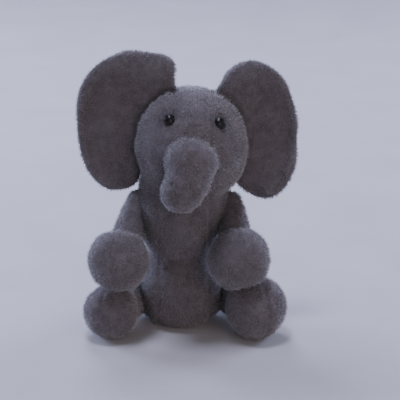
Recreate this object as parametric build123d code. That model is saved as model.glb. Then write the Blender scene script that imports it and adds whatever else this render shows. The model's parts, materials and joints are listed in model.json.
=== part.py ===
"""A small stuffed elephant, sitting. Millimetres, +Z up, it faces -Y, and its left side is +X.

Every fabric panel, lump of stuffing and fitting is a solid of its own. A limb is a slim cone with
a large ball at its end, and its root is a ball centred on its joint.
"""
from build123d import *
from math import asin, cos, pi, sin
import os

# Fabric and clearances
CLOTH = 1.5                 # thickness of a plush panel
SEAM_GAP = 0.1              # between a cover and what fills it
JOINT_GAP = 0.45            # between two bodies that move
SHOULDER_GAP = 1.0          # wider, because a raised arm leans towards the body
EAR_CLOTH = 1.3

# Body: outline as (radius, height), turned about Z
BODY_OUTLINE = [(18.8, 4.5), (19.8, 11), (18.4, 21), (15.2, 30), (14, 37), (15.5, 44.5),
                (17.7, 52), (18.8, 59)]
BASE_R = 15.5               # flat ring the body sits on
NECK_R = 19.6               # body cover's radius at its top edge
BODY_TOP = 65.0
BELLY_PANEL_W = 23.0

# Neck
NECK = Vector(0, 0, 66)
NECK_BALL_R = 13.0
THREAD_R = 0.55

# Head
HEAD = Vector(3.5, -4, 89.5)
HEAD_R = 24.3
HEAD_BOTTOM = 70.3
HEAD_NECK_R = 19.6          # the cheeks run down into a neck of this radius
GUSSET_W = 17.0
FACE_SPLIT_Z = 88.5         # the forehead strip ends and the chin panel begins here

# Trunk: bend at the face, then down over the chest
TRUNK_ROOT = Vector(3.2, -31, 88.5)
TRUNK_ROOT_R = 10.0
TRUNK_TIP = Vector(0.6, -33.2, 72.5)
TRUNK_TIP_R = 8.1

# Eyes, as directions from the head's centre
EYE_DIRECTIONS = {"right": Vector(-10.5, -18.0, 14.7), "left": Vector(13.9, -17.2, 12.9)}
EYE_R = 2.9
EYE_SUNK = 1.0              # how far the dome's centre lies under the head's surface
SHANK_R = 0.8
SHANK_L = 7.0
WASHER_R = 4.0
WASHER_T = 0.8
WASHER_BEHIND = 1.4         # from the cover's inner face to the washer

# Ears: outlines in the XZ plane, cut to the head's round side
EAR_Y = 1.5                 # the ears' middle plane
EAR_T = 5.2
EAR_HEAD_GAP = 1.5
EAR_OUTLINES = {
    "right": [(-5, 117.5), (-9, 126), (-20, 129.2), (-32, 127.8), (-42, 121.5), (-48.2, 110),
              (-49.5, 95), (-47, 79), (-41, 67.4), (-32, 63.2), (-23, 65.2), (-17, 75)],
    "left": [(17, 115), (23, 122), (32, 125.3), (41, 122.5), (48, 113), (52, 99), (52.6, 84),
             (50.5, 70.5), (44, 61.8), (35.5, 58.8), (27.5, 62.5), (20, 76)],
}

# Arms and legs: root ball, and paw or foot ball, of each
ARMS = {
    "right": ((Vector(-22.5, -1, 57), 6), (Vector(-30, -25, 36.8), 13.4)),
    "left": ((Vector(23, -1, 56), 6), (Vector(25.5, -25, 37.2), 13.6)),
}
LEGS = {
    "right": ((Vector(-23.5, -3, 10), 7.6), (Vector(-34, -26.5, 11.6), 11.6)),
    "left": ((Vector(23.5, -3, 10), 7.6), (Vector(33.5, -26.5, 12.3), 12.3)),
}
LIMB_SWELL = 1.8            # how much wider the slim part is where it enters the paw or foot

# Tail
TAIL_ROOT = Vector(0, 20.3, 24.5)
TAIL_ROOT_R = 2.4
TAIL_TIP = Vector(0, 24.6, 7.5)
TAIL_TIP_R = 3.0

# Pellet pouch in the seat
POUCH_R = 12.5
POUCH_H = 11.0
POUCH_Z = 3.5
POUCH_CLOTH = 0.7
POUCH_EDGE = 3.5

FAR = 120.0                 # larger than the toy, for slabs and half-spaces that cut it


def ball(centre, radius):
    return Pos(*centre) * Sphere(radius)


def ball_cone(start, start_r, end, end_r):
    """Two balls joined by the cone that touches both, as one turned solid."""
    along = end - start
    length = along.length
    slope = asin((end_r - start_r) / length)
    start_touch = (start_r * cos(slope), -start_r * sin(slope))
    end_touch = (end_r * cos(slope), length - end_r * sin(slope))
    start_pole = (0, -start_r)
    end_pole = (0, length + end_r)
    start_mid = -(pi / 2 + slope) / 2
    end_mid = (pi / 2 - slope) / 2
    start_arc = (start_r * cos(start_mid), start_r * sin(start_mid))
    end_arc = (end_r * cos(end_mid), length + end_r * sin(end_mid))
    outline = Wire([
        ThreePointArc(start_pole, start_arc, start_touch),
        Line(start_touch, end_touch),
        ThreePointArc(end_touch, end_arc, end_pole),
        Line(end_pole, start_pole),
    ])
    local = Plane.XZ * Face(outline)
    solid = revolve(local, Axis.Z, 360)
    return Plane(origin=start, z_dir=along).location * solid


def slim_form(ends, inset=0.0):
    (start, start_r), (end, _) = ends
    return ball_cone(start, start_r - inset, end, start_r + LIMB_SWELL - inset)


def limb_form(ends, inset=0.0):
    end, end_r = ends[1]
    return slim_form(ends, inset) + ball(end, end_r - inset)


def trunk_form(inset=0.0):
    return ball_cone(TRUNK_ROOT, TRUNK_ROOT_R - inset, TRUNK_TIP, TRUNK_TIP_R - inset)


def body_form(inset=0.0):
    """The body as a turned solid with a flat seat and an open, flat top."""
    side = [(BASE_R - inset, inset)]
    side += [(radius - inset, max(height, inset + 2)) for radius, height in BODY_OUTLINE]
    side += [(NECK_R - inset, BODY_TOP)]
    outline = Wire([
        Line((0, inset), side[0]),
        Spline(side),
        Line(side[-1], (0, BODY_TOP)),
        Line((0, BODY_TOP), (0, inset)),
    ])
    return revolve(Plane.XZ * Face(outline), Axis.Z, 360)


def head_form(inset=0.0):
    """A round head whose cheeks run down into the neck."""
    skull = ball(HEAD, HEAD_R - inset)
    neck_h = HEAD.Z - HEAD_BOTTOM
    neck = Pos(0, 0, HEAD_BOTTOM + neck_h / 2) * Cylinder(HEAD_NECK_R - inset, neck_h)
    form = skull + neck
    below = Pos(0, 0, HEAD_BOTTOM - FAR / 2) * Box(FAR, FAR, FAR)
    return form - below


def ear_outline(side, inset):
    """The ear's outline, with each point drawn in towards the ear's middle."""
    points = [Vector(x, z) for x, z in EAR_OUTLINES[side]]
    middle = sum(points, Vector(0, 0)) / len(points)
    drawn_in = [point - (point - middle).normalized() * inset for point in points]
    return Wire([Spline(drawn_in, periodic=True)])


def ear_form(side, inset=0.0):
    """A padded ear with a round rim, cut back from the head."""
    face = Face(ear_outline(side, inset))
    thickness = EAR_T - 2 * inset
    plate = Plane.XZ.offset(-EAR_Y - thickness / 2) * face
    form = extrude(plate, thickness, dir=(0, -1, 0))
    rim = thickness / 2 - 0.25
    form = fillet(form.edges().filter_by(GeomType.LINE, reverse=True), rim)
    room = EAR_HEAD_GAP + inset
    skull = Pos(HEAD.X, EAR_Y, HEAD.Z) * Rot(90, 0, 0) * Cylinder(HEAD_R + room, 4 * EAR_T)
    neck = Pos(0, 0, HEAD.Z / 2) * Cylinder(HEAD_NECK_R + room, HEAD.Z)
    return form - skull - neck


def moving_clearance():
    """What the limbs and the neck take out of the body."""
    shoulders = [slim_form(ends, -SHOULDER_GAP) for ends in ARMS.values()]
    hips = [slim_form(ends, -JOINT_GAP) for ends in LEGS.values()]
    return shoulders + hips + [ball(NECK, NECK_BALL_R + JOINT_GAP)]


def less(shape, cutters):
    for cutter in cutters:
        shape = shape - cutter
    return shape


def pouch_form(inset=0.0):
    height = POUCH_H - 2 * inset
    drum = Cylinder(POUCH_R - inset, height)
    drum = fillet(drum.edges().filter_by(GeomType.CIRCLE), POUCH_EDGE)
    return Pos(0, 0, POUCH_Z + POUCH_H / 2) * drum


def body_parts():
    cutters = moving_clearance()
    shell = less(body_form() - body_form(CLOTH), cutters)
    base_slab = Pos(0, 0, CLOTH / 2) * Box(FAR, FAR, CLOTH)
    belly_slab = Pos(0, -FAR / 2, 0) * Box(BELLY_PANEL_W, FAR, 2 * FAR)
    walls = shell - base_slab
    sides = walls - belly_slab
    filling = less(body_form(CLOTH + SEAM_GAP), cutters) - pouch_form(-SEAM_GAP)
    return {
        "seat_base": shell & base_slab,
        "belly_panel": walls & belly_slab,
        "body_side_left": split(sides, Plane.YZ, keep=Keep.TOP),
        "body_side_right": split(sides, Plane.YZ, keep=Keep.BOTTOM),
        "body_stuffing": filling,
        "pellet_pouch": pouch_form() - pouch_form(POUCH_CLOTH),
        "pellets": pouch_form(POUCH_CLOTH + SEAM_GAP),
    }


def neck_parts():
    ring = Pos(*NECK) * Torus(NECK_BALL_R + THREAD_R + 0.05, THREAD_R)
    return {"neck_stuffing": ball(NECK, NECK_BALL_R), "neck_thread": ring}


def eye_place(side):
    """A plane on the head's surface at the eye, with its z pointing out."""
    out = EYE_DIRECTIONS[side].normalized()
    return Plane(origin=HEAD + out * HEAD_R, z_dir=out)


def eye_parts(side):
    """A domed eye whose shank runs in through the cover to a washer."""
    place = eye_place(side)
    dome = Pos(0, 0, -EYE_SUNK) * Sphere(EYE_R)
    behind = Pos(0, 0, -EYE_SUNK - EYE_R) * Box(FAR, FAR, 2 * EYE_R)
    dome = dome - behind
    shank = Pos(0, 0, -EYE_SUNK - SHANK_L / 2) * Cylinder(SHANK_R, SHANK_L)
    washer_z = -CLOTH - WASHER_BEHIND - WASHER_T / 2
    washer = Pos(0, 0, washer_z) * (Cylinder(WASHER_R, WASHER_T) - Cylinder(SHANK_R, 2 * WASHER_T))
    return place.location * (dome + shank), place.location * washer


def head_parts():
    cutters = [trunk_form(-JOINT_GAP), ball(NECK, NECK_BALL_R + JOINT_GAP)]
    parts = {}
    for side in EYE_DIRECTIONS:
        eye, washer = eye_parts(side)
        parts["eye_" + side] = eye
        parts["eye_washer_" + side] = washer
        cutters += [eye]
    washers = [parts["eye_washer_" + side] for side in EYE_DIRECTIONS]
    open_below = Pos(0, 0, HEAD_BOTTOM) * Cylinder(HEAD_NECK_R - CLOTH, 4 * CLOTH)
    shell = less(head_form() - head_form(CLOTH) - open_below, cutters)
    strip = Pos(*HEAD) * Box(GUSSET_W, FAR, FAR)
    chin_slab = Pos(HEAD.X, HEAD.Y - FAR / 2, FACE_SPLIT_Z - FAR / 2) * Box(GUSSET_W, FAR, FAR)
    middle = shell & strip
    sides = shell - strip
    middle_plane = Plane.YZ.offset(HEAD.X)
    parts["head_gusset"] = middle - chin_slab
    parts["chin_panel"] = middle & chin_slab
    parts["head_side_left"] = split(sides, middle_plane, keep=Keep.TOP)
    parts["head_side_right"] = split(sides, middle_plane, keep=Keep.BOTTOM)
    parts["head_stuffing"] = less(head_form(CLOTH + SEAM_GAP), cutters + washers)
    return parts


def across(axis, direction):
    """The part of a direction that is square to an axis."""
    axis = axis.normalized()
    return (direction - axis * direction.dot(axis)).normalized()


def covered(name, first, second, form, plane):
    """A stuffed part: a cover in two panels that meet at a plane, and what fills it."""
    shell = form(0.0) - form(CLOTH)
    return {
        f"{name}_{first}": split(shell, plane, keep=Keep.TOP),
        f"{name}_{second}": split(shell, plane, keep=Keep.BOTTOM),
        f"{name}_stuffing": form(CLOTH + SEAM_GAP),
    }


def limb_parts(limb, ends_by_side):
    parts = {}
    for side, ends in ends_by_side.items():
        (start, _), (end, _) = ends
        outward = across(end - start, Vector(1 if side == "left" else -1, 0, 0))
        seam = Plane(origin=start, z_dir=outward)
        parts |= covered(f"{limb}_{side}", "outer", "inner",
                         lambda inset, ends=ends: limb_form(ends, inset), seam)
    return parts


def ear_parts(side):
    middle = Plane.XZ.offset(-EAR_Y)
    shell = ear_form(side) - ear_form(side, EAR_CLOTH)
    return {
        f"ear_{side}_front": split(shell, middle, keep=Keep.TOP),
        f"ear_{side}_back": split(shell, middle, keep=Keep.BOTTOM),
        f"ear_{side}_wadding": ear_form(side, EAR_CLOTH + SEAM_GAP),
    }


def trunk_parts():
    left = across(TRUNK_TIP - TRUNK_ROOT, Vector(1, 0, 0))
    return covered("trunk", "left", "right", trunk_form, Plane(origin=TRUNK_ROOT, z_dir=left))


def all_parts():
    parts = body_parts() | neck_parts() | head_parts() | trunk_parts()
    for side in EAR_OUTLINES:
        parts |= ear_parts(side)
    parts |= limb_parts("arm", ARMS) | limb_parts("leg", LEGS)
    parts["tail"] = ball_cone(TAIL_ROOT, TAIL_ROOT_R, TAIL_TIP, TAIL_TIP_R)
    return parts


os.makedirs("parts", exist_ok=True)
for node, shape in all_parts().items():
    export_step(shape, f"parts/{node}.step")
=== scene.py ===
"""A small stuffed elephant, sitting: padded plush skins with real pile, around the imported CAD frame.

Shapes are worked out in millimetres in the CAD frame and stored in metres. Each skin starts from
smooth forms or CAD covers, is remeshed and given pile. All but the tail's are first puffed up by a
cloth simulation. Stuffing and wadding are made from their CAD nodes and kept inside the skins.
"""
import json

import bmesh
import bpy
import numpy as np
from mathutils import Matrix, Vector
from mathutils.bvhtree import BVHTree


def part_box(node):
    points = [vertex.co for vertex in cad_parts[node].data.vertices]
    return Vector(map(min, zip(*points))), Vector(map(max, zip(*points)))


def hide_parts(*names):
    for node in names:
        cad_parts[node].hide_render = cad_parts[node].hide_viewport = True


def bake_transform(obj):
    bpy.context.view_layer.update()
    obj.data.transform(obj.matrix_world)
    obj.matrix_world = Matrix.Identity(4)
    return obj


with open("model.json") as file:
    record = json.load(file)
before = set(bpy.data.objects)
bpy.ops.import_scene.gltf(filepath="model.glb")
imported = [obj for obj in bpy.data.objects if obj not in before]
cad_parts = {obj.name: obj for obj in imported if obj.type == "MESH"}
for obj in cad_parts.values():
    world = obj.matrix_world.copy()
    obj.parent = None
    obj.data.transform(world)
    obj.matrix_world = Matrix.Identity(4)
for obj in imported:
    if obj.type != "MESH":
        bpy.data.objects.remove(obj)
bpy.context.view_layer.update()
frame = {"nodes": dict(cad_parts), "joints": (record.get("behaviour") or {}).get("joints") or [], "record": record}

MM = 0.001
SEED = 11

# Skins, in millimetres
TORSO_VOXEL = 0.9           # remesh sizes
SMALL_VOXEL = 0.8
TAIL_VOXEL = 0.5
FILL_VOXEL = 1.0
FILL_DEPTH = 0.8            # how far the filling stays under the skin
FLOOR_GAP = 0.02            # the lowest that skins and pile reach above the floor
PAW_GAP = 1.4               # from a foot to the paw that rests on it
PAW_DENT = 0.7              # share of the overlap that each of the two gives way
PUFF_CAP = {"torso": 0.9, "ear": 0.9, "limb": 0.6}      # the most that a point is blown out
# Uneven filling: the height and size of its broad lumps and, where there are any, its small ones
LUMPS = {"torso": ((0.35, 10), (0.2, 5)), "ear": ((0.22, 8),), "limb": ((0.3, 9), (0.15, 4))}

# Cloth simulation
SIM_SCALE = 8.0             # the cloth solver likes pieces the size of a cushion
SIM_FRAMES = 20
PRESSURE = 4.0
STIFFNESS = 8.0
BENDING = 0.3

# Torso and trunk, in millimetres
WAIST_Z = 34.0              # a soft crease round the body
WAIST_DEPTH = 0.8
BELLY_Z = 14.0              # where the belly is fullest
BELLY_SWELL = 0.9
BODY_LEAN = 1.6             # how far the belly sits to the toy's right of the neck
SEAT_EDGE = 2.2             # radius of the rounding round the seat
CROWN_START = 0.55          # height in head radii from which the top of the head is pressed down
CROWN_FLAT = 0.1            # share by which it is pressed down
TRUNK_RING = 3.8            # from one fold round the trunk to the next
TRUNK_RING_H = 0.25
TRUNK_TIP_R = 8.1
EYE_DIMPLE = 0.7
EYE_TRIM = 3.3              # from an eye's middle, where the pile is clipped away
EAR_SEAM_DEPTH = 1.0        # of the groove on the head beside an ear

# Ears, in millimetres
EAR_PULL = 5.0              # how far the inner edge is drawn in under the head's pile
EAR_CURL = 3.0              # how far the rim curls forward
EAR_FOLD = 3.5              # how far the right ear's upper inner corner folds forward
EAR_RIPPLE = 0.9
EAR_CORNER_OUT = (2.6, 1.6)     # how far that corner is drawn inward and up

# Limbs, in millimetres
LIMB_END_R = {"arm_left": 13.6, "arm_right": 13.4, "leg_left": 12.3, "leg_right": 11.6}   # in CAD
LIMB_PLUMP = {"arm_left": 0.3, "arm_right": 0.3, "leg_left": 1.7, "leg_right": 0.6}
LIMB_ROOT_R = {"arm": 6.0, "leg": 7.6}
LIMB_ROOT_IN = 0.94         # where a limb starts, as a share of its joint's distance from the middle
LIMB_STUB_IN = 0.72         # the same for the stub inside the body
LIMB_SWELL = 1.8            # how much wider the slim part is where it enters the paw or foot

# Pile
PILE_LENGTH = 1.5           # mm
TAIL_PILE_LENGTH = 1.2      # mm
PILE_WIDTH = 0.27           # mm across a tuft at its root
PILE_DENSITY = 3.4          # tufts per square millimetre
PILE_ROOT = 0.25            # mm, how deep a tuft starts
PILE_START = 0.4            # mm above the floor
TUFT_RANGE = (0.65, 1.25)   # shortest and longest tuft, as shares of the pile's length
SEAM_PILE = 0.6             # length left at a seam
STAND, LAY, SWIRL, JITTER = 0.8, 0.45, 0.22, 0.34   # what turns a tuft, and by how much
SWIRL_SIZE = 5.0            # mm
PAINTED_SHADE_REACH = 4.5               # mm, how far painted shade, darker pile, reaches out of a gap between pieces
PAINTED_SHADE_STEPS = 3.6         # shades darker inside the gap, as painted shade
SHADE_MIDDLE = 2.6          # mean shade of the tufts, as a place in SHADES
SHADE_PATCH, SHADE_MIX = 0.9, 0.75   # how much it varies in patches, and from tuft to tuft

SIDES = ("left", "right")
JOINTS = {joint["name"]: joint for joint in frame["joints"]}
BODIES = frame["record"]["behaviour"]["bodies"]
SLOTS = {part["node"]: part["material_slot"] for part in frame["record"]["subparts"]}


def at(joint):
    """A joint's place in millimetres."""
    return np.array(JOINTS[joint]["pos_m"]) / MM


def box_of(*nodes):
    """The lowest and highest corners of several CAD nodes, in millimetres."""
    corners = np.array([[tuple(corner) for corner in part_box(node)] for node in nodes]) / MM
    return corners[:, 0].min(axis=0), corners[:, 1].max(axis=0)


def waves(points, size, seed, count=7):
    """A smooth random field over points, about -1 to 1, with bumps of that size in millimetres."""
    rng = np.random.default_rng(seed)
    directions = rng.normal(size=(count, 3))
    directions /= np.linalg.norm(directions, axis=1)[:, None]
    pitch = size * rng.uniform(0.7, 1.5, count)
    phase = rng.uniform(0, 2 * np.pi, count)
    field = np.sin(points @ (directions / pitch[:, None]).T * np.pi + phase)
    return field.sum(axis=1) / np.sqrt(count)


def smoothstep(low, high, value):
    share = np.clip((value - low) / (high - low), 0, 1)
    return share * share * (3 - 2 * share)


def unit(vectors):
    return vectors / np.maximum(np.linalg.norm(vectors, axis=-1, keepdims=True), 1e-9)


# ---- measures taken from the frame ---------------------------------------------------------------

HEAD_NODES = ("head_gusset", "chin_panel", "head_side_left", "head_side_right")
BODY_NODES = ("seat_base", "belly_panel", "body_side_left", "body_side_right")
HEAD_LOW, HEAD_HIGH = box_of(*HEAD_NODES)
HEAD_R = (HEAD_HIGH[0] - HEAD_LOW[0]) / 2
HEAD = np.array([(HEAD_HIGH[0] + HEAD_LOW[0]) / 2, HEAD_HIGH[1] - HEAD_R, HEAD_HIGH[2] - HEAD_R])
NECK = at("head_nod")
TRUNK_ROOT = at("trunk_curl")
TRUNK_LOW, TRUNK_HIGH = box_of("trunk_left", "trunk_right")
TRUNK_ROOT_R = TRUNK_HIGH[2] - TRUNK_ROOT[2]
TRUNK_TIP = TRUNK_LOW + TRUNK_TIP_R
EYES = {side: sum(box_of(f"eye_{side}")) / 2 for side in SIDES}
BELLY_PANEL_W = np.diff([corner[0] for corner in box_of("belly_panel")])[0]
GUSSET_W = np.diff([corner[0] for corner in box_of("head_gusset")])[0]


def limb_ends(limb, side):
    """A limb's root and the middle and radius of its paw or foot."""
    name = f"{limb}_{side}"
    root = at(f"{name}_{'raise' if limb == 'arm' else 'spread'}")
    low, high = box_of(f"{name}_outer", f"{name}_inner")
    radius = LIMB_END_R[name]
    outside = high[0] - radius if side == "left" else low[0] + radius
    return root, np.array([outside, low[1] + radius, low[2] + radius]), radius


# ---- materials -----------------------------------------------------------------------------------

def new_material(name, colour, roughness, sheen=0.0):
    material = bpy.data.materials.new(name)
    material.use_nodes = True
    shader = material.node_tree.nodes["Principled BSDF"]
    shader.inputs["Base Color"].default_value = (*colour, 1)
    shader.inputs["Roughness"].default_value = roughness
    shader.inputs["Sheen Weight"].default_value = sheen
    shader.inputs["Sheen Roughness"].default_value = 0.5
    return material, shader


def mottle(material, shader, dark, light, size, bump):
    """Colour that wanders between dark and light over spots of that size (mm), with a fine bump."""
    nodes, links = material.node_tree.nodes, material.node_tree.links
    place = nodes.new("ShaderNodeTexCoord")
    broad = nodes.new("ShaderNodeTexNoise")
    broad.inputs["Scale"].default_value = 1 / (size * MM)
    broad.inputs["Detail"].default_value = 4
    ramp = nodes.new("ShaderNodeValToRGB")
    ramp.color_ramp.elements[0].position = 0.3
    ramp.color_ramp.elements[0].color = (*dark, 1)
    ramp.color_ramp.elements[1].position = 0.7
    ramp.color_ramp.elements[1].color = (*light, 1)
    fine = nodes.new("ShaderNodeTexNoise")
    fine.inputs["Scale"].default_value = 3 / MM
    fine.inputs["Detail"].default_value = 2
    raised = nodes.new("ShaderNodeBump")
    raised.inputs["Strength"].default_value = bump
    raised.inputs["Distance"].default_value = 0.3 * MM
    links.new(place.outputs["Object"], broad.inputs["Vector"])
    links.new(place.outputs["Object"], fine.inputs["Vector"])
    links.new(broad.outputs["Fac"], ramp.inputs["Fac"])
    links.new(ramp.outputs["Color"], shader.inputs["Base Color"])
    links.new(fine.outputs["Fac"], raised.inputs["Height"])
    links.new(raised.outputs["Normal"], shader.inputs["Normal"])


PLUSH_GREY = np.array([0.187, 0.160, 0.179])
SHADES = (0.25, 0.68, 0.9, 1.12, 1.4)     # of the pile, as multiples of that grey; the darkest is reached only through painted shade in gaps

# Slot: (name, colour, roughness, sheen, dark spots, light spots, spot size in mm, bump)
MOTTLED = {
    "plush": ("plush_backing", PLUSH_GREY * 0.6, 0.95, 0.2,
              PLUSH_GREY * 0.42, PLUSH_GREY * 0.8, 3.0, 0.6),
    "eye": ("eye_black", (0.008, 0.006, 0.007), 0.3, 0.0,
            (0.006, 0.005, 0.006), (0.010, 0.008, 0.009), 1.5, 0.02),
    "stuffing": ("fibre_fill", (0.8, 0.79, 0.76), 0.95, 0.3,
                 (0.66, 0.65, 0.62), (0.86, 0.85, 0.82), 2.0, 0.8),
    "wadding": ("wadding_sheet", (0.78, 0.78, 0.76), 0.95, 0.3,
                (0.7, 0.7, 0.68), (0.84, 0.84, 0.82), 1.2, 0.6),
    "pouch_cloth": ("pouch_cotton", (0.7, 0.67, 0.6), 0.9, 0.0,
                    (0.62, 0.59, 0.52), (0.76, 0.73, 0.66), 0.8, 0.4),
    "pellets": ("plastic_pellets", (0.75, 0.77, 0.8), 0.45, 0.0,
                (0.6, 0.62, 0.66), (0.86, 0.87, 0.9), 1.4, 1.0),
    "washer": ("washer_plastic", (0.78, 0.78, 0.75), 0.4, 0.0,
               (0.72, 0.72, 0.69), (0.8, 0.8, 0.78), 2.0, 0.1),
    "thread": ("grey_thread", (0.09, 0.083, 0.09), 0.8, 0.2,
               (0.06, 0.055, 0.06), (0.11, 0.1, 0.11), 0.4, 0.5),
}


def make_materials():
    found = {}
    for slot, (name, colour, roughness, sheen, dark, light, size, bump) in MOTTLED.items():
        found[slot], shader = new_material(name, colour, roughness, sheen)
        mottle(found[slot], shader, dark, light, size, bump)
        if slot == "eye":
            shader.inputs["Specular IOR Level"].default_value = 0.3
    for number, shade in enumerate(SHADES):
        name = f"plush_fibre_{number}"
        found[f"fibre_{number}"], _ = new_material(name, PLUSH_GREY * shade, 0.85, sheen=0.6)
    return found


MATERIALS = make_materials()


# ---- forms: balls joined by cones, given as (start, radius, end, radius) in millimetres ----------

def ball_cone(start, start_r, end, end_r):
    """The points and faces of two balls joined by a cone."""
    along = 12
    start, end = np.array(start, float), np.array(end, float)
    axis = end - start
    length = np.linalg.norm(axis)
    axis = axis / length
    side = unit(np.cross(axis, [0.3, 0.5, 0.81]))
    other = np.cross(axis, side)
    slope = np.arcsin(np.clip((end_r - start_r) / length, -0.99, 0.99))
    angles = np.concatenate([np.linspace(-np.pi / 2, -slope, along),
                             np.linspace(-slope, np.pi / 2, along)])
    on_start = np.arange(2 * along) < along
    radii = np.where(on_start, start_r, end_r)
    heights = np.where(on_start, 0, length) + radii * np.sin(angles)
    return turned(radii * np.cos(angles), heights, start, axis, side, other, around=32)


def turned(widths, heights, foot=(0, 0, 0), axis=(0, 0, 1), side=(1, 0, 0), other=(0, 1, 0), around=48):
    """The points and faces of an outline turned about an axis and closed at both ends."""
    axis, side, other = (np.array(way, float) for way in (axis, side, other))
    turn = np.linspace(0, 2 * np.pi, around, endpoint=False)[None, :, None]
    rings = np.array(widths)[:, None, None] * (np.cos(turn) * side + np.sin(turn) * other)
    rings = rings + np.array(heights)[:, None, None] * axis + np.array(foot, float)
    faces = []
    for ring in range(len(widths) - 1):
        for step in range(around):
            a = ring * around + step
            b = ring * around + (step + 1) % around
            faces.append((a, b, b + around, a + around))
    faces.append(tuple(range(around))[::-1])
    faces.append(tuple(range((len(widths) - 1) * around, len(widths) * around)))
    return rings.reshape(-1, 3), faces


def depth(points, forms):
    """How deep each point lies inside a set of forms. Outside them it is below zero."""
    deepest = np.full(len(points), -1e9)
    for start, start_r, end, end_r in forms:
        axis = np.array(end, float) - start
        share = np.clip((points - start) @ axis / (axis @ axis), 0, 1)
        away = np.linalg.norm(points - (start + share[:, None] * axis), axis=1)
        deepest = np.maximum(deepest, start_r + share * (end_r - start_r) - away)
    return deepest


# ---- mesh helpers --------------------------------------------------------------------------------

def link(name, mesh):
    piece = bpy.data.objects.new(name, mesh)
    bpy.context.scene.collection.objects.link(piece)
    return piece


def get_points(mesh):
    """A mesh's points in millimetres."""
    points = np.empty(len(mesh.vertices) * 3, np.float64)
    mesh.vertices.foreach_get("co", points)
    return points.reshape(-1, 3) / MM


def set_points(mesh, points):
    mesh.vertices.foreach_set("co", (points * MM).astype(np.float32).ravel())
    mesh.update()


def get_normals(mesh):
    normals = np.empty(len(mesh.vertices) * 3, np.float64)
    mesh.vertex_normals.foreach_get("vector", normals)
    return normals.reshape(-1, 3)


def node_form(node):
    """The points and faces of a CAD node."""
    mesh = frame["nodes"][node].data
    return get_points(mesh), [tuple(face.vertices) for face in mesh.polygons]


def islands(mesh):
    """A number for each vertex, the same all over each connected part."""
    edges = np.empty(len(mesh.edges) * 2, np.int64)
    mesh.edges.foreach_get("vertices", edges)
    edges = edges.reshape(-1, 2)
    label = np.arange(len(mesh.vertices))
    while True:
        low = np.minimum(label[edges[:, 0]], label[edges[:, 1]])
        new = label.copy()
        np.minimum.at(new, edges[:, 0], low)
        np.minimum.at(new, edges[:, 1], low)
        new = new[new]
        if (new == label).all():
            return label
        label = new


def delete_vertices(mesh, doomed):
    work = bmesh.new()
    work.from_mesh(mesh)
    work.verts.ensure_lookup_table()
    bmesh.ops.delete(work, geom=[work.verts[i] for i in np.nonzero(doomed)[0]], context="VERTS")
    work.to_mesh(mesh)
    work.free()


def largest_part(mesh):
    """Deletes all but the part with the most vertices, such as the walls of gaps inside."""
    label = islands(mesh)
    names, counts = np.unique(label, return_counts=True)
    if len(names) > 1:
        delete_vertices(mesh, label != names[counts.argmax()])


def blob(name, shapes, voxel, smooth):
    """One closed skin round several shapes, each given as points and faces."""
    points, faces, start = [], [], 0
    for shape_points, shape_faces in shapes:
        points.append(shape_points)
        faces += [tuple(start + corner for corner in face) for face in shape_faces]
        start += len(shape_points)
    mesh = bpy.data.meshes.new(name)
    mesh.from_pydata((np.concatenate(points) * MM).tolist(), [], faces)
    piece = link(name, mesh)
    remesh = piece.modifiers.new("Remesh", "REMESH")
    remesh.mode = "VOXEL"
    remesh.voxel_size = voxel * MM
    smoothing = piece.modifiers.new("Smooth", "SMOOTH")
    smoothing.factor = 0.5
    smoothing.iterations = smooth
    graph = bpy.context.evaluated_depsgraph_get()
    piece.data = bpy.data.meshes.new_from_object(piece.evaluated_get(graph), depsgraph=graph)
    piece.modifiers.clear()
    largest_part(piece.data)
    return piece


def puff(piece, cap, pinned):
    """Blows a closed skin up as cloth under pressure. No point moves further than cap (mm)."""
    rest = get_points(piece.data)
    stand_in = link(piece.name + "_sim", piece.data.copy())
    set_points(stand_in.data, rest * SIM_SCALE)
    cloth = stand_in.modifiers.new("Cloth", "CLOTH")
    cloth.settings.quality = 4
    cloth.settings.use_pressure = True
    cloth.settings.uniform_pressure_force = PRESSURE
    cloth.settings.effector_weights.gravity = 0
    cloth.settings.tension_stiffness = STIFFNESS
    cloth.settings.compression_stiffness = STIFFNESS
    cloth.settings.bending_stiffness = BENDING
    group = stand_in.vertex_groups.new(name="pin")
    group.add(np.nonzero(pinned)[0].tolist(), 1.0, "REPLACE")
    cloth.settings.vertex_group_mass = "pin"
    cloth.point_cache.frame_start = 1
    cloth.point_cache.frame_end = SIM_FRAMES
    for step in range(1, SIM_FRAMES + 1):
        bpy.context.scene.frame_set(step)
    graph = bpy.context.evaluated_depsgraph_get()
    moved = get_points(stand_in.evaluated_get(graph).data) / SIM_SCALE - rest
    bpy.data.objects.remove(stand_in)
    bpy.context.scene.frame_set(1)
    far = np.linalg.norm(moved, axis=1, keepdims=True)
    moved *= np.minimum(1, cap / np.maximum(far, 1e-9))
    print(piece.name, "puffed by", round(float(far.mean()), 2), "mm on average, most",
          round(float(far.max()), 2))
    set_points(piece.data, rest + moved)


def push(piece, by):
    """Moves a skin's points along their normals, by millimetres given for each point."""
    mesh = piece.data
    set_points(mesh, get_points(mesh) + get_normals(mesh) * by[:, None])


def rest_on_floor(piece):
    points = get_points(piece.data)
    points[:, 2] = np.maximum(points[:, 2], FLOOR_GAP)
    set_points(piece.data, points)


def cut_out(piece, name, labels, wanted):
    """A copy of those faces of a skin whose lowest label among their corners is the wanted one."""
    part = link(name, piece.data.copy())
    work = bmesh.new()
    work.from_mesh(part.data)
    doomed = [face for face in work.faces if min(labels[v.index] for v in face.verts) != wanted]
    bmesh.ops.delete(work, geom=doomed, context="FACES")
    work.to_mesh(part.data)
    work.free()
    return part


def close_holes(mesh):
    """Caps the openings where a skin was cut."""
    work = bmesh.new()
    work.from_mesh(mesh)
    bmesh.ops.holes_fill(work, edges=[edge for edge in work.edges if edge.is_boundary], sides=0)
    work.to_mesh(mesh)
    work.free()


# ---- pile ----------------------------------------------------------------------------------------

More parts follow.
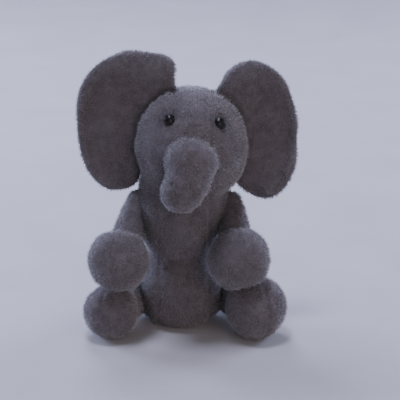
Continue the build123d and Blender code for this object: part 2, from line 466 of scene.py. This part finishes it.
def scatter(mesh, density, rng):
    """Random points over a mesh, evenly by area, with the smooth normal at each."""
    mesh.calc_loop_triangles()
    corners = np.empty(len(mesh.loop_triangles) * 3, np.int64)
    mesh.loop_triangles.foreach_get("vertices", corners)
    corners = corners.reshape(-1, 3)
    points, normals = get_points(mesh), get_normals(mesh)
    a, b, c = (points[corners[:, i]] for i in range(3))
    area = np.linalg.norm(np.cross(b - a, c - a), axis=1) / 2
    count = int(area.sum() * density)
    pick = rng.choice(len(corners), count, p=area / area.sum())
    u, v = rng.random(count), rng.random(count)
    flip = u + v > 1
    u[flip], v[flip] = 1 - u[flip], 1 - v[flip]
    weights = np.stack([1 - u - v, u, v], axis=1)[:, :, None]
    chosen = corners[pick]
    return (points[chosen] * weights).sum(axis=1), unit((normals[chosen] * weights).sum(axis=1))


def tuft_mesh(name, place, out, way, tall, rng):
    """Tapered tufts as three-sided spikes, with their roots a little way under the skin."""
    count = len(place)
    tip = place + way * tall[:, None]
    tip[:, 2] = np.maximum(tip[:, 2], FLOOR_GAP)
    side = unit(np.cross(way, rng.normal(size=(count, 3))))
    other = np.cross(way, side)
    root = place - out * PILE_ROOT
    root[:, 2] = np.maximum(root[:, 2], FLOOR_GAP)
    width = PILE_WIDTH * rng.uniform(0.7, 1.2, count)[:, None] / 2
    corners = [root + width * (side * np.cos(turn) + other * np.sin(turn))
               for turn in (0, 2 * np.pi / 3, 4 * np.pi / 3)]
    points = np.stack([*corners, tip], axis=1).reshape(-1, 3)
    order = np.array([[0, 2, 1], [0, 1, 3], [1, 2, 3], [2, 0, 3]])
    faces = (np.arange(count)[:, None, None] * 4 + order[None]).reshape(-1, 3)
    mesh = bpy.data.meshes.new(name)
    mesh.vertices.add(len(points))
    mesh.loops.add(len(faces) * 3)
    mesh.polygons.add(len(faces))
    mesh.loops.foreach_set("vertex_index", faces.ravel().astype(np.int32))
    mesh.polygons.foreach_set("loop_start", np.arange(0, len(faces) * 3, 3, dtype=np.int32))
    set_points(mesh, points)
    return mesh


def tuft_shades(place, seed, dark, rng):
    """A shade number for each tuft: patchy in the open, and darker where dark goes to 1, as painted shade."""
    patch = waves(place, 6.0, seed + 5) * 0.5 + waves(place, 2.2, seed + 6) * 0.35
    mix = rng.normal(size=len(place)) * SHADE_MIX
    lightest = len(SHADES) - 1
    shade = np.clip(np.round(SHADE_MIDDLE + patch * SHADE_PATCH + mix), 1, lightest)
    # painted shade: tufts drop by up to this many shades in gaps between pieces
    return np.clip(shade - np.round(PAINTED_SHADE_STEPS * dark), 0, lightest)


def grow_pile(skin, seed, comb, seam, bare, painted_shade_depth, length):
    """Pile over a skin, laid as comb says, shorter at seams, and with painted shade: darker in crevices."""
    rng = np.random.default_rng(seed)
    place, out = scatter(skin.data, PILE_DENSITY, rng)
    keep = (place[:, 2] > PILE_START) & ~bare(place)
    place, out = place[keep], out[keep]
    count = len(place)
    lay = comb(place)
    lay = unit(lay - out * (lay * out).sum(axis=1, keepdims=True))
    swirl = np.stack([waves(place, SWIRL_SIZE, seed + i) for i in (1, 2, 3)], axis=1)
    jitter = rng.normal(size=(count, 3)) * JITTER
    way = unit(out * STAND + lay * LAY + swirl * SWIRL + jitter)
    tall = length * rng.uniform(*TUFT_RANGE, count) * (1 + 0.15 * waves(place, 7.0, seed + 4))
    tall *= SEAM_PILE + (1 - SEAM_PILE) * smoothstep(0, 1.3, seam(place))
    mesh = tuft_mesh(skin.name + "_pile", place, out, way, tall, rng)
    # painted shade: darker tufts where the skin runs into a gap between pieces
    shade = tuft_shades(place, seed, smoothstep(-PAINTED_SHADE_REACH, -0.8, painted_shade_depth(place)), rng)
    mesh.polygons.foreach_set("material_index", np.repeat(shade, 4).astype(np.int32))
    for number in range(len(SHADES)):
        mesh.materials.append(MATERIALS[f"fibre_{number}"])
    mesh.update()
    mesh.validate()
    return link(skin.name + "_pile", mesh)


# ---- the toy's forms, as (start, radius, end, radius), placed from the frame's measures ----------

SKULL = [(HEAD, HEAD_R + 0.2, HEAD + [0, -1, -0.5], HEAD_R + 0.2)]
CHEEKS = [(HEAD + [sign * 4.6, -2, -4], 20.9, HEAD + [sign * 4.2, -1, -8], 20.4) for sign in (1, -1)]
THROAT = [(HEAD + [-1, 1.5, -8], 20.8, NECK + [0, 0, 2], 19.6)]
HEAD_FORMS = SKULL + CHEEKS + THROAT

TRUNK_TOP = TRUNK_ROOT - [0, 0, 1.0]
TRUNK_BEND = TRUNK_ROOT * 0.5 + TRUNK_TIP * 0.5 + [0.4, -1.2, 0]
TRUNK_END = TRUNK_TIP + [-1.6, 0, -0.4]
TRUNK_FORMS = [
    (HEAD + [-0.3, -13, -1], 10.5, TRUNK_TOP, TRUNK_ROOT_R),
    (TRUNK_TOP, TRUNK_ROOT_R, TRUNK_BEND, 9.1),
    (TRUNK_TOP + [2.6, 1.5, -1.2], 9.3, TRUNK_BEND + [1.2, 0.6, 0], 8.7),
    (TRUNK_BEND, 9.1, TRUNK_END, TRUNK_TIP_R + 0.2),
]

CHEST = NECK + [-0.6, -2, -11]
CHEST_FORMS = [(CHEST, 20.8, NECK + [0, -1, 4], 20.3), (CHEST, 20.4, NECK + [-0.4, -0.5, -30], 15.6)]
BELLY_FORM = ((0, -4.8, BELLY_Z), 19.4, (0, -3.2, BELLY_Z + 6), 17.0)
TORSO_FORMS = HEAD_FORMS + CHEST_FORMS + [BELLY_FORM]

# Middle of the right ear's upper inner corner, in X and Z
EAR_CORNER = np.array([HEAD[0] - 12, HEAD[2] + HEAD_R + 11])


def limb_forms(limb, side):
    """Upper arm or leg, the paw or foot at its end, and a stub that runs into the body."""
    root, end, radius = limb_ends(limb, side)
    thin = LIMB_ROOT_R[limb]
    root = root * [LIMB_ROOT_IN, 1, 1]
    stub = root * [LIMB_STUB_IN, 1, 1] + [0, 3, 0]
    plump = LIMB_PLUMP[f"{limb}_{side}"]
    middle = end + [0, 0, plump]
    return [(stub, thin - 0.8, root, thin), (root, thin, end, thin + LIMB_SWELL),
            (middle, radius + plump, middle + [0, 0, 0.01], radius + plump)]


LIMB_FORMS = {f"{limb}_{side}": limb_forms(limb, side) for limb in ("arm", "leg") for side in SIDES}


def body_outline():
    """The body cover's radius at a row of heights, measured on the belly panel."""
    points, _ = node_form("belly_panel")
    away = np.hypot(points[:, 0], points[:, 1])
    heights = np.arange(2.0, NECK[2], 2.0)
    radii = [away[np.abs(points[:, 2] - height) < 1.2].max() for height in heights]
    return radii, heights


# ---- fields over places on the skins, in millimetres ---------------------------------------------

def nowhere(place):
    return np.zeros(len(place), bool)


def no_seam(place):
    return np.full(len(place), 99.0)


# no painted shade anywhere
def no_painted_shade(place):
    return np.full(len(place), -99.0)


def comb_down(place):
    """The nap hangs down and a little back."""
    return np.tile([0.0, 0.15, -1.0], (len(place), 1))


def comb_head(place):
    """The nap runs back and down from the forehead."""
    return unit(place - (HEAD + [0, -HEAD_R, 8])) * [1, 1, 0.6] + [0, 0.2, -0.5]


def near_eyes(place):
    """True beside the eyes, where the pile is trimmed."""
    close = np.zeros(len(place), bool)
    for eye in EYES.values():
        close |= np.linalg.norm(place - eye, axis=1) < EYE_TRIM
    return close


def body_seam(place):
    """Distance from the seams beside the belly panel and down the back."""
    belly = np.where(place[:, 1] < 0, np.abs(np.abs(place[:, 0]) - BELLY_PANEL_W / 2), 99)
    back = np.where(place[:, 1] > 0, np.abs(place[:, 0]), 99)
    return np.minimum(belly, back)


def head_seam(place):
    """Distance from the two seams of the strip over the head."""
    return np.abs(np.abs(place[:, 0] - HEAD[0]) - GUSSET_W / 2)


def groove(distance, width=0.9, deep=0.4):
    """How a sewn seam draws the skin in, at each distance from it."""
    return -deep * np.exp(-(distance / width) ** 2)


def uneven(points, piece, seed):
    """How far uneven filling pushes a skin out at each point."""
    return sum(height * waves(points, size, seed + i) for i, (height, size) in enumerate(LUMPS[piece]))


def limb_depth(place):
    return depth(place, [form for forms in LIMB_FORMS.values() for form in forms])


def torso_depth(place):
    radii, heights = body_outline()
    in_body = np.interp(place[:, 2], heights, radii) - np.hypot(place[:, 0], place[:, 1])
    return np.maximum(in_body, depth(place, TORSO_FORMS))


def head_depth(place):
    return depth(place, HEAD_FORMS)


def head_painted_shade_depth(place):
    """How deep a place on the head lies in the seam of an ear or beside an eye, for painted shade there."""
    from_eye = np.min([np.linalg.norm(place - eye, axis=1) for eye in EYES.values()], axis=0)
    return np.maximum(ear_depth(place), EYE_TRIM - 0.4 - from_eye)


def ear_depth(place):
    """How deep a place on the head lies in the seams of the ears."""
    deep = np.full(len(place), -99.0)
    for side in SIDES:
        low, high = box_of(*BODIES[f"ear_{side}"])
        inward = place[:, 0] - low[0] if side == "left" else high[0] - place[:, 0]
        beside = (inward > 0) & (place[:, 2] > low[2] + 4)
        in_slab = (high[1] - low[1]) / 2 - np.abs(place[:, 1] - (high[1] + low[1]) / 2)
        deep = np.where(beside, np.maximum(deep, in_slab), deep)
    return deep


def sunk_in(depth_in):
    """Where a skin lies inside another piece and needs no pile."""
    return lambda place: depth_in(place) > 0.8


def wide_painted_shade(depth_in):
    """A gap whose painted shade, darker pile, reaches twice as far out."""
    return lambda place: depth_in(place) * 0.5


# ---- finishing a skin ----------------------------------------------------------------------------

def unchanged(points):
    return points


def make_filling(node, skin, bend):
    """The lump of filling inside a skin, bent with it and kept a little way under it."""
    slot = SLOTS[node]
    lump = blob(node + "_lump", [node_form(node)], FILL_VOXEL, smooth=2)
    points = bend(get_points(lump.data))
    tree = BVHTree.FromPolygons(get_points(skin.data).tolist(),
                                [tuple(face.vertices) for face in skin.data.polygons])
    for number, point in enumerate(points):
        spot, out, _, _ = tree.find_nearest(point)
        if (Vector(point) - spot).dot(out) > -FILL_DEPTH:
            points[number] = spot - out * FILL_DEPTH
    set_points(lump.data, points)
    lump.data.polygons.foreach_set("use_smooth", np.ones(len(lump.data.polygons), bool))
    lump.data.materials.append(MATERIALS[slot])
    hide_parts(node)
    return lump


def dress(skin, seed, comb, nodes, filling=(), seam=no_seam, bare=nowhere, painted_shade_depth=no_painted_shade,
          length=PILE_LENGTH, bend=unchanged):
    """Finishes a skin: material, pile and filling, and the CAD nodes it stands for."""
    pile = grow_pile(skin, seed, comb, seam, bare, painted_shade_depth, length)
    close_holes(skin.data)
    skin.data.polygons.foreach_set("use_smooth", np.ones(len(skin.data.polygons), bool))
    skin.data.materials.clear()
    skin.data.materials.append(MATERIALS["plush"])
    skin.data.update()
    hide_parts(*nodes)
    print(skin.name, len(skin.data.polygons), "faces,", len(pile.data.polygons) // 4, "tufts")
    return [skin, pile] + [make_filling(node, skin, bend) for node in filling]


def blend_all(parts):
    """Bakes the placement of a skin, its pile and its filling into their meshes."""
    for part in parts:
        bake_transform(part)


def covers(body):
    """The CAD nodes that a body's skin stands for."""
    return [node for node in BODIES[body] if not node.endswith(("stuffing", "wadding"))]


# ---- the toy's skins -----------------------------------------------------------------------------

def whole_torso():
    """Body, head and trunk as one puffed skin, drawn in round the eyes and along the ears."""
    radii, heights = body_outline()
    shapes = [turned([radii[0] - SEAT_EDGE, *radii], [0.05, *heights])]
    shapes += [ball_cone(*form) for form in TORSO_FORMS + TRUNK_FORMS]
    whole = blob("whole", shapes, TORSO_VOXEL, smooth=12)
    points = get_points(whole.data)
    crown = points[:, 2] - (HEAD[2] + CROWN_START * HEAD_R)
    points[:, 2] -= CROWN_FLAT * np.maximum(crown, 0)
    points[:, 0] -= BODY_LEAN * smoothstep(WAIST_Z + 28, WAIST_Z + 4, points[:, 2])
    set_points(whole.data, points)
    waist = np.exp(-((points[:, 2] - WAIST_Z - 0.8 * np.sin(points[:, 0] / 5)) / 1.4) ** 2)
    belly = np.exp(-((points[:, 2] - BELLY_Z) / 8) ** 2) * smoothstep(4, 16, -points[:, 1])
    hanging = smoothstep(-2, 0, depth(points, TRUNK_FORMS[1:]))
    hanging *= smoothstep(TRUNK_ROOT[2] - 1, TRUNK_ROOT[2] - 8, points[:, 2])
    rings = np.sin(points[:, 2] * 2 * np.pi / TRUNK_RING + 0.12 * points[:, 0])
    push(whole, uneven(points, "torso", SEED) - WAIST_DEPTH * waist * (hanging < 0.1)
         + BELLY_SWELL * belly + TRUNK_RING_H * rings * hanging)
    rest_on_floor(whole)
    puff(whole, PUFF_CAP["torso"], get_points(whole.data)[:, 2] < 1.5)
    points = get_points(whole.data)
    for eye in EYES.values():
        push(whole, -EYE_DIMPLE * np.exp(-(np.linalg.norm(points - eye, axis=1) / 4.2) ** 2))
    push(whole, -EAR_SEAM_DEPTH * smoothstep(-1.5, 1.0, ear_depth(points)))
    return whole


def make_torso():
    """Parts the torso's skin where the stuffed bodies meet, and finishes each part."""
    whole = whole_torso()
    points = get_points(whole.data)
    is_trunk = depth(points, TRUNK_FORMS) > depth(points, HEAD_FORMS) + 0.6
    is_trunk &= points[:, 1] < TRUNK_ROOT[1] + 12
    below = (points[:, 2] < NECK[2]) & ~is_trunk
    labels = np.where(is_trunk, 2, np.where(below, 0, 1))
    push(whole, np.where(is_trunk, 0, groove(np.where(below, body_seam(points), head_seam(points)))))
    rest_on_floor(whole)
    body, head, trunk = (cut_out(whole, name + "_cover", labels, number)
                         for number, name in enumerate(("body", "head", "trunk")))
    bpy.data.objects.remove(whole)
    # painted shade: darker body pile where the limbs meet it
    parts = dress(body, SEED + 10, comb_down, BODY_NODES, ["body_stuffing"], body_seam,
                  sunk_in(limb_depth), painted_shade_depth=wide_painted_shade(limb_depth))
    blend_all(parts)
    # painted shade: darker head pile in the ears' seams and round the eyes
    parts = dress(head, SEED + 20, comb_head, HEAD_NODES, ["head_stuffing"], head_seam,
                  near_eyes, painted_shade_depth=head_painted_shade_depth)
    blend_all(parts)
    parts = dress(trunk, SEED + 30, comb_down, covers("trunk"), ["trunk_stuffing"])
    blend_all(parts)


def ear_sizes(side):
    """An ear's outward sign, hinge, lowest and highest corners, and reach beyond the hinge."""
    sign = 1 if side == "left" else -1
    hinge = at(f"ear_{side}_fold")
    low, high = box_of(*BODIES[f"ear_{side}"])
    reach = high[0] - hinge[0] if side == "left" else hinge[0] - low[0]
    return sign, hinge, low, high, reach


def rim_share(points, side):
    """1 at an ear's rim, 0 over its middle."""
    sign, hinge, low, high, reach = ear_sizes(side)
    centre = np.array([hinge[0] + sign * reach * 0.42, (low[2] + high[2]) / 2])
    size = np.array([reach * 0.6, (high[2] - low[2]) / 2])
    return smoothstep(0.5, 1.0, np.linalg.norm((points[:, [0, 2]] - centre) / size, axis=1))


def bend_ear(points, side):
    """Draws an ear in to the head, curls its rim forward and folds the right one's upper corner."""
    sign, hinge, low, high, reach = ear_sizes(side)
    right = sign < 0
    middle = (low[1] + high[1]) / 2
    flat = points[:, [0, 2]] - HEAD[[0, 2]]
    away = np.linalg.norm(flat, axis=1)
    pull = EAR_PULL * (1 - smoothstep(HEAD_R + 1, HEAD_R + 8, away))
    bent = points.copy()
    bent[:, [0, 2]] -= flat / away[:, None] * pull[:, None]
    out = np.clip((bent[:, 0] - hinge[0]) * sign / reach, -1, 1)
    rim = rim_share(bent, side)
    curl = EAR_CURL * rim ** 2 * smoothstep(0.0, 0.6, out)
    crown = np.array([HEAD_LOW[0] + 14, HEAD_HIGH[2] + 8])
    fold = EAR_FOLD * np.exp(-(np.linalg.norm(bent[:, [0, 2]] - crown, axis=1) / 10) ** 2) * right
    ripple = EAR_RIPPLE * waves(bent * [1, 0, 1], 22, SEED + 40 + sign) * smoothstep(0, 0.4, out)
    corner = np.exp(-(np.linalg.norm(bent[:, [0, 2]] - EAR_CORNER, axis=1) / 6) ** 2) * right
    bent[:, 0] += EAR_CORNER_OUT[0] * corner
    bent[:, 2] += EAR_CORNER_OUT[1] * corner
    bent[:, 1] = middle + (points[:, 1] - middle) * (0.85 + 0.3 * rim) - curl - fold + ripple
    return bent


def make_ear(side):
    """A padded ear with a round rim and a seam round it."""
    name = f"ear_{side}"
    sign, hinge, low, high, _ = ear_sizes(side)
    skin = blob(name + "_cover", [node_form(node) for node in BODIES[name]], SMALL_VOXEL, smooth=5)
    thick = np.abs(get_points(skin.data)[:, 1] - (low[1] + high[1]) / 2)
    points = bend_ear(get_points(skin.data), side)
    rim = rim_share(points, side)
    set_points(skin.data, points)
    push(skin, uneven(points, "ear", SEED + 42))
    puff(skin, PUFF_CAP["ear"], (thick < 0.6) & (rim > 0.8))
    push(skin, groove(thick, 0.7, 0.35) * smoothstep(0.7, 0.95, rim))
    # painted shade: darker ear pile next to the head
    parts = dress(skin, SEED + 43 + sign, lambda place: comb_down(place) + [0.6 * sign, 0, 0.2],
                  covers(name), [name + "_wadding"], bare=sunk_in(head_depth),
                  painted_shade_depth=head_depth, bend=lambda points: bend_ear(points, side))
    blend_all(parts)


def make_limb(limb, side):
    """A slim arm or leg with a round, fuller paw or foot, sewn from two panels."""
    name = f"{limb}_{side}"
    root, end, _ = limb_ends(limb, side)
    way = unit(end - root)
    outward = np.array([1.0 if side == "left" else -1.0, 0, 0])
    outward = unit(outward - way * (outward @ way))
    seed = SEED + 60 + (10 if limb == "leg" else 0) + (5 if side == "left" else 0)
    skin = blob(name + "_cover", [ball_cone(*form) for form in LIMB_FORMS[name]], SMALL_VOXEL, smooth=12)
    points = get_points(skin.data)
    push(skin, uneven(points, "limb", seed))
    rest_on_floor(skin)
    puff(skin, PUFF_CAP["limb"], get_points(skin.data)[:, 2] < 1.0)
    neighbour = LIMB_FORMS[f"{'leg' if limb == 'arm' else 'arm'}_{side}"]
    pressed = depth(get_points(skin.data), neighbour) + PAW_GAP
    push(skin, -PAW_DENT * np.maximum(pressed, 0))

    def seam(place):
        return np.abs((place - root) @ outward)

    push(skin, groove(seam(get_points(skin.data))))
    rest_on_floor(skin)
    # painted shade: darker limb pile where the limb meets the torso
    parts = dress(skin, seed + 2, comb_down, covers(name), [name + "_stuffing"], seam,
                  sunk_in(torso_depth), painted_shade_depth=wide_painted_shade(torso_depth))
    blend_all(parts)


def make_tail():
    """The tail, with a stub that runs into the body."""
    root = at("tail_lift")
    low, high = box_of("tail")
    width = (high[0] - low[0]) / 2
    stub = ball_cone(root - [0, 6, -1], width, root, width)
    skin = blob("tail_cover", [node_form("tail"), stub], TAIL_VOXEL, smooth=4)
    parts = dress(skin, SEED + 90, comb_down, ["tail"], bare=sunk_in(torso_depth),
                  length=TAIL_PILE_LENGTH)
    blend_all(parts)


def finish_inner_parts():
    """Gives each CAD node that still shows the material of its slot."""
    for part in frame["record"]["subparts"]:
        slot = part["material_slot"]
        if slot != "plush":
            materials = frame["nodes"][part["node"]].data.materials
            materials.clear()
            materials.append(MATERIALS[slot])


# ---- floor, lights and camera, in metres ---------------------------------------------------------

TOY_MIDDLE = (0.0075, 0.0, 0.0575)
CAMERA_DISTANCE = 0.8
CAMERA_RISE = np.radians(20)
VIEW_WIDTH = 0.188          # across the picture at the toy
SENSOR_WIDTH = 36           # mm

COOL = (0.68, 0.74, 1.0)
COOLER = (0.6, 0.68, 1.0)
ROOM_COLOUR = (0.75, 0.78, 0.9, 1)
ROOM_STRENGTH = 0.25
LIGHTS = [                  # name, place, diameter, power, colour
    ("window_high", (-0.15, 0.6, 0.72), 0.35, 5, COOL),
    ("window_left", (-0.75, 0.45, 0.3), 0.4, 10, COOLER),
    ("window_right", (0.75, 0.5, 0.3), 0.4, 8, COOLER),
    ("ceiling", (-0.1, -0.05, 0.9), 0.22, 4.6, (0.7, 0.75, 1.0)),
    ("front_fill", (0.3, -0.8, 0.28), 0.8, 2.7, (1.0, 0.84, 0.78)),
]


def make_floor():
    bpy.ops.mesh.primitive_plane_add(size=4.0)
    floor = bpy.context.object
    floor.name = "floor"
    material, shader = new_material("pale_floor", (0.5, 0.48, 0.5), 0.8)
    mottle(material, shader, (0.48, 0.46, 0.48), (0.52, 0.50, 0.52), 40.0, 0.05)
    floor.data.materials.append(material)


def aim(thing, target):
    """Turns a lamp or camera to look at a place."""
    way = Vector(target) - thing.location
    thing.rotation_euler = way.to_track_quat("-Z", "Y").to_euler()


def area_light(name, place, size, power, colour):
    light = bpy.data.lights.new(name, "AREA")
    light.shape = "DISK"
    light.size = size
    light.energy = power
    light.color = colour
    lamp = bpy.data.objects.new(name, light)
    lamp.location = place
    bpy.context.scene.collection.objects.link(lamp)
    aim(lamp, TOY_MIDDLE)


def make_lights():
    for light in LIGHTS:
        area_light(*light)
    world = bpy.data.worlds.new("room")
    world.use_nodes = True
    background = world.node_tree.nodes["Background"]
    background.inputs["Color"].default_value = ROOM_COLOUR
    background.inputs["Strength"].default_value = ROOM_STRENGTH
    bpy.context.scene.world = world


def make_camera():
    camera = bpy.data.cameras.new("camera")
    camera.sensor_width = SENSOR_WIDTH
    camera.lens = SENSOR_WIDTH * CAMERA_DISTANCE / VIEW_WIDTH
    eye = bpy.data.objects.new("camera", camera)
    back = CAMERA_DISTANCE * np.cos(CAMERA_RISE)
    up = CAMERA_DISTANCE * np.sin(CAMERA_RISE)
    eye.location = (TOY_MIDDLE[0], TOY_MIDDLE[1] - back, TOY_MIDDLE[2] + up)
    bpy.context.scene.collection.objects.link(eye)
    aim(eye, TOY_MIDDLE)
    bpy.context.scene.camera = eye


make_camera()
make_torso()
for ear_side in SIDES:
    make_ear(ear_side)
    make_limb("arm", ear_side)
    make_limb("leg", ear_side)
make_tail()
finish_inner_parts()
make_floor()
make_lights()
